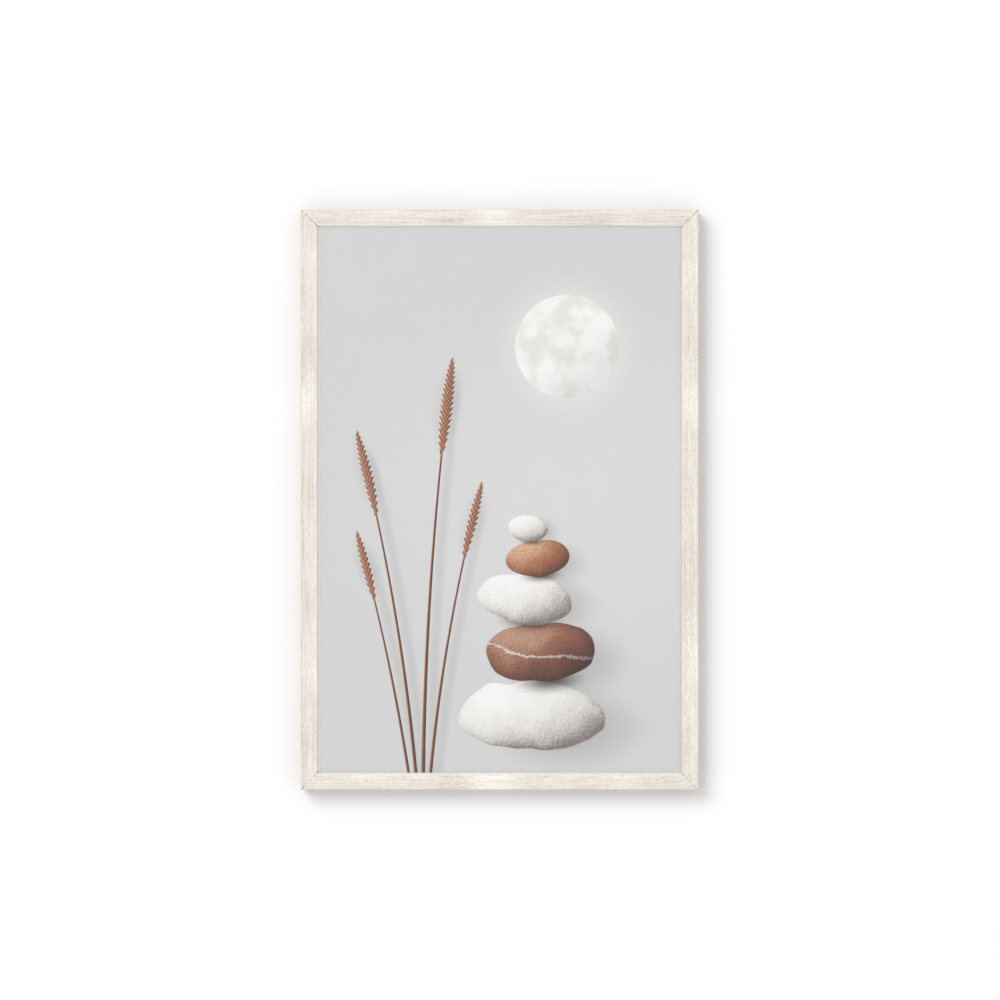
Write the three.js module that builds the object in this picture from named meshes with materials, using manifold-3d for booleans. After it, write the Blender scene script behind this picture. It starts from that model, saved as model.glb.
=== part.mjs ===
// A framed wall print, hanging as it does on a wall.
//
// Four mitred mouldings hold a clear acrylic sheet, the print and a backing board in their rebate.
// Flexible steel points, pressed into the rebate's wall, hold the board. Two V-nails cross each mitre
// at the back. A sawtooth hanger is nailed to the top moulding, and two bumpers keep the foot off the
// wall.
//
// Millimetres. +X is to the right seen from the front, +Z is up and +Y points into the wall.
// The origin is where the hanger's middle notch meets the wall.
import * as THREE from "three";
import { mergeVertices } from "three/addons/utils/BufferGeometryUtils.js";
import Module from "manifold-3d";

const wasm = await Module();
wasm.setup();

// ---- Driving dimensions ----
const sightWidth = 400; // the part of the print that shows
const sightHeight = 600;

const faceWidth = 18; // moulding, seen from the front
const mouldingDepth = 22;
const lipWidth = 5; // how far the moulding laps over the print
const lipThickness = 2;
const faceCrown = 0.3; // the face is very slightly domed
const outerEase = 0.8; // rounding of the outer front edge
const innerEase = 0.6;
const backEase = 0.4;
const mitreGap = 0.3; // the joint's hairline

const sheetPlay = 1; // between each sheet's edge and the rebate's wall
const glazingThickness = 1;
const printThickness = 0.4;
const boardThickness = 3;
const sheetGap = 0.2; // in front of each sheet

const pointWidth = 7; // flexible point
const pointThickness = 0.6;
const pointBuried = 5;
const pointReach = 14;
const pointHoleRadius = 1.1;
const pointHoleFromTip = 4.1;
const pointTaper = 3.3; // length of its spear-shaped end
const pointExitHeight = 1.5; // above the board, where it leaves the wood
const pointPress = 0.4; // the same where it presses, and how far out that is
const pointPressAt = 9.6;
const pointTipHeight = 1.5;
const pointsOnLongRail = 4;
const pointsOnShortRail = 3;
const longRailPointPitch = 150;
const shortRailPointPitch = 130;

const vNailHalfSpan = 4.2;
const vNailRise = 3;
const vNailFoot = 0.8; // the flange turned out at each leg's end
const vNailThickness = 0.6;
const vNailLength = 8;
const vNailInsets = [6, 10.2]; // each one's middle, from both outer faces

const hangerLength = 46;
const hangerHeight = 9;
const hangerGauge = 1; // thickness of its steel
const hangerTopInset = 1.5; // from the frame's top edge
const bridgeHalf = 15; // half of the raised middle
const bridgeRamp = 2.5;
const toothPitch = 2.6;
const toothDepth = 1.8;
const notchesEachSide = 5; // besides the middle one
const hangerCorner = 2;

const bradRadius = 0.8;
const bradLength = 9;
const bradHeadRadius = 2.2;
const bradHeadHeight = 0.9;
const bradFromMiddle = 20.4;

const bumperRadius = 4.75;
const standoff = 3; // gap to the wall, set by the bumpers and the hanger's bridge
const bumperEase = 0.8;
const bumperFromCorner = 26;

const fitGap = 0.3; // clearance round steel that sits in wood

// ---- Places worked out from them ----
const outerWidth = sightWidth + 2 * faceWidth;
const outerHeight = sightHeight + 2 * faceWidth;
const solidWidth = faceWidth - lipWidth; // the moulding's back, between outer face and rebate
const railBackY = -standoff;
const frontY = railBackY - mouldingDepth;
const glazingFrontY = frontY + lipThickness + sheetGap;
const printFrontY = glazingFrontY + glazingThickness + sheetGap;
const boardFrontY = printFrontY + printThickness + sheetGap;
const boardBackY = boardFrontY + boardThickness;
const sheetWidth = sightWidth + 2 * (lipWidth - sheetPlay);
const sheetHeight = sightHeight + 2 * (lipWidth - sheetPlay);
const notchZ = outerHeight / 2 - hangerTopInset - hangerHeight + toothDepth; // above the picture's centre
const slack = 1; // cutters run this far past the face they open

// ---- Finishes ----
const finish = (color, roughness, metalness = 0) =>
  new THREE.MeshStandardMaterial({ color, roughness, metalness });
const limedWood = finish("#ebe2d6", 0.6);
const printPaper = finish("#d9d8d6", 0.7);
const hardboard = finish("#8a6242", 0.85);
const zincSteel = finish("#b9bbbb", 0.35, 1);
const bumperRubber = finish("#d8d6cf", 0.5);
const clearAcrylic = new THREE.MeshStandardMaterial({
  color: "#f6f9f9",
  roughness: 0.05,
  transparent: true,
  opacity: 0.15,
});

// ---- Solids: three.js makes each shape, and manifold-3d only joins and cuts ----
function solidFrom(geometry) {
  const bare = geometry.index ? geometry.toNonIndexed() : geometry.clone();
  bare.deleteAttribute("normal");
  bare.deleteAttribute("uv");
  const merged = mergeVertices(bare, 1e-4);
  const mesh = new wasm.Mesh({
    numProp: 3,
    vertProperties: merged.attributes.position.array,
    triVerts: new Uint32Array(merged.index.array),
  });
  return new wasm.Manifold(mesh);
}

function geometryFrom(solid) {
  const { vertProperties, triVerts } = solid.getMesh();
  const indexed = new THREE.BufferGeometry();
  indexed.setAttribute("position", new THREE.BufferAttribute(vertProperties, 3));
  indexed.setIndex(new THREE.BufferAttribute(triVerts, 1));
  const geometry = indexed.toNonIndexed();
  geometry.computeVertexNormals();
  return geometry;
}

const cut = (body, cutters) =>
  cutters.reduce((left, cutter) => left.subtract(solidFrom(cutter)), body);

function piece(name, geometry, material) {
  const mesh = new THREE.Mesh(geometry, material);
  mesh.name = name;
  return mesh;
}

const prism = (shape, depth, curveSegments = 6) =>
  new THREE.ExtrudeGeometry(shape, { depth, curveSegments, bevelEnabled: false });

// Axes for an extruded outline, as [outline's first axis, its second, the way it is extruded].
const axesMatrix = (first, second, along) =>
  new THREE.Matrix4().makeBasis(
    new THREE.Vector3(...first),
    new THREE.Vector3(...second),
    new THREE.Vector3(...along),
  );

// ---- Moulding ----
// Section: x runs from the outer face inwards, and y from the front face back.
function mouldingSection() {
  const section = new THREE.Shape();
  section.moveTo(backEase, mouldingDepth);
  section.lineTo(solidWidth, mouldingDepth);
  section.lineTo(solidWidth, lipThickness);
  section.lineTo(faceWidth, lipThickness);
  section.lineTo(faceWidth, faceCrown + innerEase);
  section.absarc(faceWidth - innerEase, faceCrown + innerEase, innerEase, 0, -Math.PI / 2, true);
  section.quadraticCurveTo(faceWidth / 2, -faceCrown, outerEase, faceCrown);
  section.absarc(outerEase, faceCrown + outerEase, outerEase, -Math.PI / 2, -Math.PI, true);
  section.lineTo(0, mouldingDepth - backEase);
  section.closePath();
  return section;
}

// A moulding as it lies at the foot of the frame, with the picture's centre at the origin: it runs
// along X, its outer face is halfAcross below the centre, and its ends are cut at 45 degrees.
function mitredMoulding(length, halfAcross) {
  const geometry = prism(mouldingSection(), length);
  geometry.applyMatrix4(axesMatrix([0, 0, 1], [0, 1, 0], [-1, 0, 0]));
  geometry.translate(length / 2, frontY, -halfAcross);
  const places = geometry.attributes.position;
  const setBack = (mitreGap / 2) * Math.SQRT2;
  for (let i = 0; i < places.count; i++) {
    const inset = places.getZ(i) + halfAcross;
    places.setX(i, Math.sign(places.getX(i)) * (length / 2 - inset - setBack));
  }
  return geometry;
}

// ---- Flexible point ----
// Local frame: x from the rebate's wall over the board, y from the board's back towards the wall
// that the frame hangs on, z along the moulding. It leaves the wood level, presses on the board and
// turns up at its tip.
function pointSideView() {
  const half = pointThickness / 2;
  const line = [
    [-pointBuried, pointExitHeight],
    [1, pointExitHeight],
    [pointPressAt, pointPress],
    [pointReach, pointTipHeight],
  ];
  const upper = line.map(([x, y]) => new THREE.Vector2(x, y + half));
  const lower = line.map(([x, y]) => new THREE.Vector2(x, y - half)).reverse();
  return new THREE.Shape([...upper, ...lower]);
}

function pointPlan() {
  const half = pointWidth / 2;
  const shoulder = pointTaper - pointBuried;
  const plan = new THREE.Shape();
  plan.moveTo(-pointBuried, 0);
  plan.lineTo(shoulder, -half);
  plan.lineTo(pointReach - half, -half);
  plan.absarc(pointReach - half, 0, half, -Math.PI / 2, Math.PI / 2, false);
  plan.lineTo(shoulder, half);
  plan.closePath();
  const hole = new THREE.Path();
  hole.absarc(pointReach - pointHoleFromTip, 0, pointHoleRadius, 0, Math.PI * 2, true);
  plan.holes.push(hole);
  return plan;
}

function flexiblePoint() {
  const side = prism(pointSideView(), pointWidth);
  side.translate(0, 0, -pointWidth / 2);
  const tall = 2 * pointExitHeight + 2 * slack;
  const plan = prism(pointPlan(), tall, 10);
  plan.applyMatrix4(axesMatrix([1, 0, 0], [0, 0, -1], [0, 1, 0]));
  plan.translate(0, -slack, 0);
  return geometryFrom(solidFrom(side).intersect(solidFrom(plan)));
}

// The slot that its buried end sits in.
function pointSlot() {
  const deep = pointBuried + fitGap + slack;
  const high = pointThickness + 2 * fitGap;
  const slot = new THREE.BoxGeometry(deep, high, pointWidth + 2 * fitGap);
  slot.translate(slack - deep / 2, pointExitHeight, 0);
  return slot;
}

const pointStations = (count, pitch) =>
  Array.from({ length: count }, (_, i) => (i - (count - 1) / 2) * pitch);

// Places a point's local frame on a moulding that lies at the foot of the frame.
const onMoulding = (halfAcross, station) =>
  axesMatrix([0, 0, 1], [0, 1, 0], [-1, 0, 0]).setPosition(
    station,
    boardBackY,
    -halfAcross + solidWidth,
  );

// ---- V-nail ----
// A folded strip, seen from the back of the frame: its crease lies on the mitre and one leg goes
// into each moulding. x runs across the mitre and y along it, towards the picture.
function vNailSection(thickness) {
  const half = thickness / 2;
  const foot = vNailHalfSpan + vNailFoot;
  const rise = vNailRise / 2;
  const line = [
    [-foot, -rise],
    [-vNailHalfSpan, -rise],
    [0, rise],
    [vNailHalfSpan, -rise],
    [foot, -rise],
  ];
  const legSlope = Math.hypot(vNailHalfSpan, vNailRise) / vNailHalfSpan;
  const thick = (index) => (index === 2 ? half * legSlope : half);
  const spread = half - vNailThickness / 2; // a pocket is longer as well as wider
  const stretched = line.map(([x, y]) => [x + Math.sign(x) * spread, y]);
  const near = stretched.map(([x, y], i) => new THREE.Vector2(x, y + thick(i)));
  const far = stretched.map(([x, y], i) => new THREE.Vector2(x, y - thick(i))).reverse();
  return new THREE.Shape([...near, ...far]);
}

const vNail = () => prism(vNailSection(vNailThickness), vNailLength);

function vNailPocket() {
  const pocket = prism(vNailSection(vNailThickness + 2 * fitGap), vNailLength + fitGap + slack);
  pocket.translate(0, 0, -slack);
  return pocket;
}

// Places a V-nail or its pocket at a corner given by its signs and the half sizes there, driven in
// from the mouldings' back face.
function atCorner(signX, signZ, halfWidth, halfHeight, inset) {
  const towardsPicture = new THREE.Vector3(-signX, 0, -signZ).normalize();
  const intoWood = new THREE.Vector3(0, -1, 0);
  const across = new THREE.Vector3().crossVectors(towardsPicture, intoWood);
  return new THREE.Matrix4()
    .makeBasis(across, towardsPicture, intoWood)
    .setPosition(signX * (halfWidth - inset), railBackY, signZ * (halfHeight - inset));
}

// ---- Hanger ----
function hangerOutline() {
  const half = hangerLength / 2;
  const top = hangerHeight;
  const outline = new THREE.Shape();
  outline.moveTo(-half + hangerCorner, top);
  outline.absarc(-half + hangerCorner, top - hangerCorner, hangerCorner, Math.PI / 2, Math.PI, false);
  outline.absarc(-half + hangerCorner, hangerCorner, hangerCorner, Math.PI, Math.PI * 1.5, false);
  for (let notch = -notchesEachSide; notch <= notchesEachSide; notch++) {
    const middle = notch * toothPitch;
    outline.lineTo(middle - toothPitch / 2, 0);
    outline.lineTo(middle, toothDepth);
    outline.lineTo(middle + toothPitch / 2, 0);
  }
  outline.absarc(half - hangerCorner, hangerCorner, hangerCorner, -Math.PI / 2, 0, false);
  outline.absarc(half - hangerCorner, top - hangerCorner, hangerCorner, 0, Math.PI / 2, false);
  outline.closePath();
  return outline;
}

// Seen from above: flat on the wood at both ends, and raised in the middle for a nail's head.
function hangerBridge() {
  const half = hangerLength / 2;
  const ramp = bridgeHalf + bridgeRamp;
  const line = [
    [-half, railBackY],
    [-ramp, railBackY],
    [-bridgeHalf, -hangerGauge],
    [bridgeHalf, -hangerGauge],
    [ramp, railBackY],
    [half, railBackY],
  ];
  const underside = line.map(([x, y]) => new THREE.Vector2(x, y));
  const topside = line.map(([x, y]) => new THREE.Vector2(x, y + hangerGauge)).reverse();
  return new THREE.Shape([...underside, ...topside]);
}

function bradHole() {
  const radius = bradRadius + fitGap;
  const deep = bradLength + fitGap + hangerGauge + slack;
  const hole = new THREE.CylinderGeometry(radius, radius, deep, 16);
  hole.translate(0, railBackY + hangerGauge + slack - deep / 2, 0);
  return hole;
}

const bradPlaces = [-1, 1].map((side) => ({
  x: side * bradFromMiddle,
  z: outerHeight / 2 - hangerTopInset - hangerHeight / 2,
}));

function hanger() {
  const outline = prism(hangerOutline(), standoff + 2 * slack);
  outline.applyMatrix4(axesMatrix([1, 0, 0], [0, 0, 1], [0, -1, 0]));
  outline.translate(0, slack, 0);
  const bridge = prism(hangerBridge(), hangerHeight + 2 * slack);
  bridge.translate(0, 0, -slack);
  const plate = solidFrom(outline).intersect(solidFrom(bridge));
  const holes = bradPlaces.map(({ x }) => bradHole().translate(x, 0, hangerHeight / 2));
  const geometry = geometryFrom(cut(plate, holes));
  geometry.translate(0, 0, outerHeight / 2 - hangerTopInset - hangerHeight);
  return geometry;
}

// A quarter of an ellipse, from [radius, 0] in to [0, rise], as the profile of a dome.
const quarterArc = (radius, rise, steps) =>
  Array.from({ length: steps + 1 }, (_, i) => {
    const turn = ((i / steps) * Math.PI) / 2;
    return i === steps ? [0, rise] : [radius * Math.cos(turn), rise * Math.sin(turn)];
  });

const turned = (profile, sides) =>
  new THREE.LatheGeometry(profile.map(([r, y]) => new THREE.Vector2(r, y)), sides);

// A brad's tip is in the wood, and its domed head on the hanger's pad.
function hangerBrad() {
  const under = railBackY + hangerGauge;
  const tip = railBackY - bradLength;
  const dome = quarterArc(bradHeadRadius, bradHeadHeight, 4).map(([r, y]) => [r, under + y]);
  return turned([[0, tip], [bradRadius, tip + 2 * bradRadius], [bradRadius, under], ...dome], 20);
}

// ---- Bumper ----
function bumper() {
  const flat = bumperRadius - bumperEase;
  const eased = quarterArc(bumperEase, bumperEase, 4).map(([r, y]) => [flat + r, y - bumperEase]);
  return turned([[0, railBackY], [bumperRadius, railBackY], ...eased, [0, 0]], 32);
}

// ---- Assembly, about the picture's centre ----
const picture = new THREE.Group();

function addRail(name, turn, length, halfAcross, stations, extraCutters) {
  const body = solidFrom(mitredMoulding(length, halfAcross));
  const slots = stations.map((station) => pointSlot().applyMatrix4(onMoulding(halfAcross, station)));
  const pockets = [-1, 1].flatMap((side) =>
    vNailInsets.map((inset) =>
      vNailPocket().applyMatrix4(atCorner(side, -1, length / 2, halfAcross, inset)),
    ),
  );
  const carved = cut(body, [...slots, ...pockets, ...extraCutters]);
  const rail = piece(`rail_${name}`, geometryFrom(carved), limedWood);
  const side = new THREE.Group();
  side.rotation.y = turn;
  side.add(rail);
  stations.forEach((station, i) => {
    const point = piece(`point_${name}_${i + 1}`, flexiblePoint(), zincSteel);
    point.applyMatrix4(onMoulding(halfAcross, station));
    side.add(point);
  });
  picture.add(side);
}

const shortStations = pointStations(pointsOnShortRail, shortRailPointPitch);
const longStations = pointStations(pointsOnLongRail, longRailPointPitch);
// The top rail is the foot rail turned half round, so what is cut for its hanger is turned back.
const bradHoles = bradPlaces.map(({ x, z }) => bradHole().translate(-x, 0, -z));
addRail("bottom", 0, outerWidth, outerHeight / 2, shortStations, []);
addRail("right", -Math.PI / 2, outerHeight, outerWidth / 2, longStations, []);
addRail("top", Math.PI, outerWidth, outerHeight / 2, shortStations, bradHoles);
addRail("left", Math.PI / 2, outerHeight, outerWidth / 2, longStations, []);

for (const [vertical, signZ] of [["top", 1], ["bottom", -1]]) {
  for (const [horizontal, signX] of [["left", -1], ["right", 1]]) {
    vNailInsets.forEach((inset, i) => {
      const nail = piece(`v_nail_${vertical}_${horizontal}_${i + 1}`, vNail(), zincSteel);
      nail.applyMatrix4(atCorner(signX, signZ, outerWidth / 2, outerHeight / 2, inset));
      picture.add(nail);
    });
  }
}

function addSheet(name, thickness, sheetFrontY, material) {
  const sheet = piece(name, new THREE.BoxGeometry(sheetWidth, thickness, sheetHeight), material);
  sheet.position.y = sheetFrontY + thickness / 2;
  picture.add(sheet);
}

addSheet("glazing", glazingThickness, glazingFrontY, clearAcrylic);
addSheet("print", printThickness, printFrontY, printPaper);
addSheet("backing_board", boardThickness, boardFrontY, hardboard);

picture.add(piece("sawtooth_hanger", hanger(), zincSteel));
bradPlaces.forEach(({ x, z }, i) => {
  const nail = piece(`hanger_brad_${i + 1}`, hangerBrad(), zincSteel);
  nail.position.set(x, 0, z);
  picture.add(nail);
});

for (const [name, side] of [["left", -1], ["right", 1]]) {
  const pad = piece(`bumper_${name}`, bumper(), bumperRubber);
  pad.position.set(side * (outerWidth / 2 - bumperFromCorner), 0, -outerHeight / 2 + solidWidth / 2);
  picture.add(pad);
}

picture.position.z = -notchZ;
const framedPrint = new THREE.Group();
framedPrint.add(picture);

export default framedPrint;
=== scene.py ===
# A framed print on a white wall: limed ash frame, clear acrylic, a printed sheet, and the hardware
# behind it. Lengths in the dictionaries are in millimetres, and Blender's own are in metres.
import math
import random

import bpy
from mathutils import Matrix, Vector, noise


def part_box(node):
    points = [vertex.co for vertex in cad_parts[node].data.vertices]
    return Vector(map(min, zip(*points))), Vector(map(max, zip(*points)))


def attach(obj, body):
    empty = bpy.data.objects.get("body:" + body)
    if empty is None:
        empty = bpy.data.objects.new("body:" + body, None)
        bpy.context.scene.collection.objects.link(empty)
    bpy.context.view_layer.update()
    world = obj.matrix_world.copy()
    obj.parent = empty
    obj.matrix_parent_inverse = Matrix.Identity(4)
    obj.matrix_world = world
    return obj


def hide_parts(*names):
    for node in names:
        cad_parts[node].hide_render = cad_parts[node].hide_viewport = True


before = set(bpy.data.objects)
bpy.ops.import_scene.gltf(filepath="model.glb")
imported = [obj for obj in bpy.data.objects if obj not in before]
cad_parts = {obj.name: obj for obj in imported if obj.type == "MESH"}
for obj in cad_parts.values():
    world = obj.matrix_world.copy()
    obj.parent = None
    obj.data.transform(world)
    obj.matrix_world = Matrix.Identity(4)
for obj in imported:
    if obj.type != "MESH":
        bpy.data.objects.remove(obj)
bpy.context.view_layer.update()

mm = 0.001
handSeed = random.Random(41)  # the small differences that hand work leaves

# What the camera saw: the frame's middle and outer width in the photograph, in pixels.
photo = {"side": 1000, "middle": (499.7, 499.8), "frameWidth": 397.8}
lens = {"focal": 120, "sensor": 36}

# The frame's own sizes come from the CAD boxes.
outerLow, outerHigh = Vector(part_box("rail_left")[0]), Vector(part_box("rail_right")[1])
topHigh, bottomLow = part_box("rail_top")[1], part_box("rail_bottom")[0]
outerWidth = (outerHigh.x - outerLow.x) / mm
outerHeight = (topHigh[2] - bottomLow[2]) / mm
frontY = outerLow.y / mm
middle = Vector(((outerLow.x + outerHigh.x) / 2, 0, (topHigh[2] + bottomLow[2]) / 2)) / mm
print("frame", round(outerWidth), "x", round(outerHeight), "mm, middle at", [round(v, 1) for v in middle])


def boxInMm(name):
    low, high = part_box(name)
    return Vector(low) / mm, Vector(high) / mm


def linear(hexColour):
    channels = [int(hexColour[i:i + 2], 16) / 255 for i in (1, 3, 5)]
    return [c / 12.92 if c <= 0.04045 else ((c + 0.055) / 1.055) ** 2.4 for c in channels] + [1]


# Adds one shader node. inputs is a dictionary by name or a list in the order of the sockets in use, so
# that a noise's list is its vector, scale, detail and roughness. A value may be a number, a hex colour,
# another node (its first output in use) or one of its outputs.
def addNode(tree, kind, inputs=(), stops=None, **settings):
    node = tree.nodes.new("ShaderNode" + kind)
    for name, value in settings.items():
        setattr(node, name, value)
    if stops:
        ramp = node.color_ramp
        while len(ramp.elements) < len(stops):
            ramp.elements.new(1)
        for element, (place, colour) in zip(ramp.elements, stops):
            element.position = place
            element.color = linear(colour)
    sockets = [socket for socket in node.inputs if socket.enabled]
    pairs = inputs.items() if isinstance(inputs, dict) else enumerate(inputs)
    for key, value in pairs:
        socket = sockets[key] if isinstance(key, int) else next(s for s in sockets if s.name == key)
        if isinstance(value, bpy.types.Node):
            value = next(s for s in value.outputs if s.enabled)
        if isinstance(value, bpy.types.NodeSocket):
            tree.links.new(value, socket)
        elif value is not None:
            socket.default_value = linear(value) if isinstance(value, str) else value
    return node


# Settings that many nodes share.
plus = {"operation": "ADD"}
minus = {"operation": "SUBTRACT"}
times = {"operation": "MULTIPLY"}
timesPlus = {"operation": "MULTIPLY_ADD"}
softStep = {"interpolation_type": "SMOOTHSTEP"}
colourMix = {"data_type": "RGBA"}
darken = {"data_type": "RGBA", "blend_type": "MULTIPLY"}
noiseSpan = (0.3, 0.7)  # nearly all of a noise's values lie in here


def newMaterial(name):
    material = bpy.data.materials.new(name)
    material.use_nodes = True
    tree = material.node_tree
    tree.nodes.clear()
    return material, tree


# The place on a piece in its own millimetres, so that every pattern below has a real size.
def placeInMm(tree, origin=(0, 0, 0)):
    where = addNode(tree, "TexCoord").outputs["Object"]
    shift = [-value * mm for value in origin]
    moved = addNode(tree, "VectorMath", [where, shift], **plus)
    return addNode(tree, "VectorMath", {"Vector": moved, "Scale": 1 / mm}, operation="SCALE")


# How far a value is from a place, to either side.
def distance(tree, value, place):
    off = addNode(tree, "Math", [value, place], **minus)
    return addNode(tree, "Math", [off], operation="ABSOLUTE")


def meshPiece(name, verts, faces):
    mesh = bpy.data.meshes.new(name)
    mesh.from_pydata([Vector(v) * mm for v in verts], [], faces)
    mesh.validate()
    mesh.polygons.foreach_set("use_smooth", [True] * len(mesh.polygons))
    piece = bpy.data.objects.new(name, mesh)
    bpy.context.scene.collection.objects.link(piece)
    return piece


# The faces that join rings of points, one after another, into a tube with flat ends.
def tubeFaces(rings, count):
    faces = []
    for j in range(rings - 1):
        for i in range(count):
            a, b = j * count + i, j * count + (i + 1) % count
            faces.append((a, b, b + count, a + count))
    faces.append(tuple(range(count - 1, -1, -1)))
    faces.append(tuple(range((rings - 1) * count, rings * count)))
    return faces


def bodyPiece(piece, material, nodes):
    piece.data.materials.clear()
    piece.data.materials.append(material)
    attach(piece, "root")
    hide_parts(*nodes)


# Stage: a white wall just behind the frame and a pale floor well below it. The wall shows only from
# the front and takes the frame's shadow, and neither hides nor shades what is behind it. The floor
# glows a little, so that behind the wall, where less light falls, it is as pale as the room.
stage = {"wallSide": 9000, "wallGap": 0.3, "floorDrop": 1250, "floorSide": 60000,
         "white": "#EEEEEE", "floorGrey": "#F4F4F4", "floorGlow": 0.37}


def makeStage():
    half, gap, far = stage["wallSide"] / 2, stage["wallGap"], stage["floorSide"] / 2
    floorZ = middle.z - stage["floorDrop"]
    wall = meshPiece("studio_wall", [
        (-half, gap, floorZ), (half, gap, floorZ), (half, gap, floorZ + half), (-half, gap, floorZ + half),
    ], [(0, 1, 2, 3)])
    floor = meshPiece("studio_floor", [
        (-far, -far, floorZ), (far, -far, floorZ), (far, far, floorZ), (-far, far, floorZ),
    ], [(0, 1, 2, 3)])

    material, tree = newMaterial("matt white wall paint")
    facing = addNode(tree, "NewGeometry").outputs["Backfacing"]
    paint = addNode(tree, "BsdfDiffuse", {"Color": stage["white"], "Roughness": 0.5})
    clear = addNode(tree, "BsdfTransparent")
    addNode(tree, "OutputMaterial", [addNode(tree, "MixShader", [facing, paint, clear])])
    wall.data.materials.append(material)
    wall.visible_shadow = False
    wall.visible_diffuse = False
    wall.visible_glossy = False
    wall.visible_transmission = False

    material, tree = newMaterial("pale studio floor")
    addNode(tree, "OutputMaterial", [addNode(tree, "BsdfPrincipled", {
        "Base Color": stage["floorGrey"], "Roughness": 0.7,
        "Emission Color": "#FFFFFF", "Emission Strength": stage["floorGlow"]})])
    floor.data.materials.append(material)
    floor.visible_diffuse = False  # so that it doesn't shade the wall from below
    floor.visible_shadow = False


# The white room gives most of the light, with less of it from overhead and from behind the wall. A
# softbox high on the left throws the shadow to the right and below, from where the glazing doesn't
# mirror it, and a rear one is for the views of the back. The fades are by a direction's y and z.
light = {"key": {"place": (-5400, -8600, 5450), "side": 6400, "power": 731},
         "rear": {"place": (250, 2600, -100), "side": 1600, "power": 45},
         "room": 0.916, "behind": 0.3, "behindFade": (0, 0.25),
         "overhead": 0.82, "overheadFade": (-0.2, 0.8)}


def makeLight():
    for name in ("key", "rear"):
        softbox = light[name]
        lamp = bpy.data.lights.new(name + "_softbox", "AREA")
        lamp.size = softbox["side"] * mm
        lamp.energy = softbox["power"]
        holder = bpy.data.objects.new(name + "_softbox", lamp)
        holder.location = (middle + Vector(softbox["place"])) * mm
        holder.rotation_euler = Vector(softbox["place"]).to_track_quat("Z", "Y").to_euler()
        bpy.context.scene.collection.objects.link(holder)
    world = bpy.data.worlds.new("white room")
    world.use_nodes = True
    tree = world.node_tree
    tree.nodes.clear()
    toward = addNode(tree, "SeparateXYZ", [addNode(tree, "TexCoord").outputs["Generated"]])
    strength = addNode(tree, "MapRange", [
        toward.outputs["Y"], *light["behindFade"], light["room"], light["behind"]])
    above = addNode(tree, "MapRange", [toward.outputs["Z"], *light["overheadFade"], 1, light["overhead"]])
    strength = addNode(tree, "Math", [strength, above], **times)
    room = addNode(tree, "Background", {"Color": "#FFFFFF", "Strength": strength})
    addNode(tree, "OutputWorld", [room])
    bpy.context.scene.world = world
    bpy.context.scene.view_settings.view_transform = "Standard"


def makeCamera():
    perPixel = outerWidth / photo["frameWidth"]
    away = photo["side"] * perPixel * lens["focal"] / lens["sensor"]
    offX = (photo["side"] / 2 - photo["middle"][0]) * perPixel
    offZ = (photo["middle"][1] - photo["side"] / 2) * perPixel
    data = bpy.data.cameras.new("photo_camera")
    data.lens = lens["focal"]
    data.sensor_width = lens["sensor"]
    data.clip_end = 100
    camera = bpy.data.objects.new("photo_camera", data)
    camera.location = (middle + Vector((offX, frontY - away, offZ))) * mm
    camera.rotation_euler = (math.pi / 2, 0, 0)
    bpy.context.scene.collection.objects.link(camera)
    bpy.context.scene.camera = camera


makeStage()
makeLight()
makeCamera()
print("stage, light and camera are up")

# Moulding. The section matches the CAD rail, with more points where it turns. In a rail's own frame
# x runs along it, y from its front face back, and z from its outer edge in to the picture.
moulding = {"face": 18, "depth": 22, "lip": 5, "lipThickness": 2, "crown": 0.3,
            "outerEase": 0.8, "innerEase": 0.6, "backEase": 0.4, "lipEase": 0.15, "rebateEase": 0.25,
            "mitreGap": 0.05, "step": 1.6, "faceSteps": 30, "sideSteps": 14}
# What hand work leaves in it: grooves of the wire brush, a slight waviness, and nicks and wear along
# the outer and the inner edge, in bands as wide as edges says.
toolMarks = {"grooveLength": 38, "groovePitch": 1.5, "grooveDeep": 0.1,
             "waveLength": 55, "wavePitch": 30, "waveDeep": 0.025,
             "nickLength": 5, "wornLength": 17, "wornPitch": 3, "nickDeep": 0.24,
             "edges": (0.9, 0.8)}


def arcPoints(centre, radius, start, end, steps):
    turns = [math.radians(start + (end - start) * i / steps) for i in range(steps + 1)]
    return [(centre[0] + radius * math.cos(t), centre[1] + radius * math.sin(t)) for t in turns]


# Points as (inset from the outer edge, depth from the front), clockwise from the outer back edge.
def mouldingSection():
    m = moulding
    face, depth, crown, lipBack = m["face"], m["depth"], m["crown"], m["lipThickness"]
    outer, inner, back = m["outerEase"], m["innerEase"], m["backEase"]
    fine, ease = m["lipEase"], m["rebateEase"]
    solid = face - m["lip"]
    sideSpan = depth - back - outer - crown
    points = [(0, depth - back - sideSpan * i / m["sideSteps"]) for i in range(m["sideSteps"])]
    points += arcPoints((outer, crown + outer), outer, 180, 270, 8)
    for i in range(1, m["faceSteps"]):
        t = i / m["faceSteps"]
        points.append((outer + (face - outer - inner) * t, crown * (1 - 4 * t * (1 - t))))
    points += arcPoints((face - inner, crown + inner), inner, 270, 360, 7)
    points += [(face, lipBack - 4 * fine), (face, lipBack - fine), (face - fine, lipBack)]
    points += [(face - m["lip"] / 2, lipBack), (solid + 0.05, lipBack)]
    points += [(solid, lipBack + (depth - lipBack) * t) for t in (0.05, 0.3, 0.55, 0.8)]
    points += [(solid, depth - ease), (solid - ease, depth)]
    points += [(solid * t, depth) for t in (0.8, 0.6, 0.4, 0.2)]
    points += [(back, depth), (back * 0.3, depth - back * 0.3)]
    return points


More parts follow.
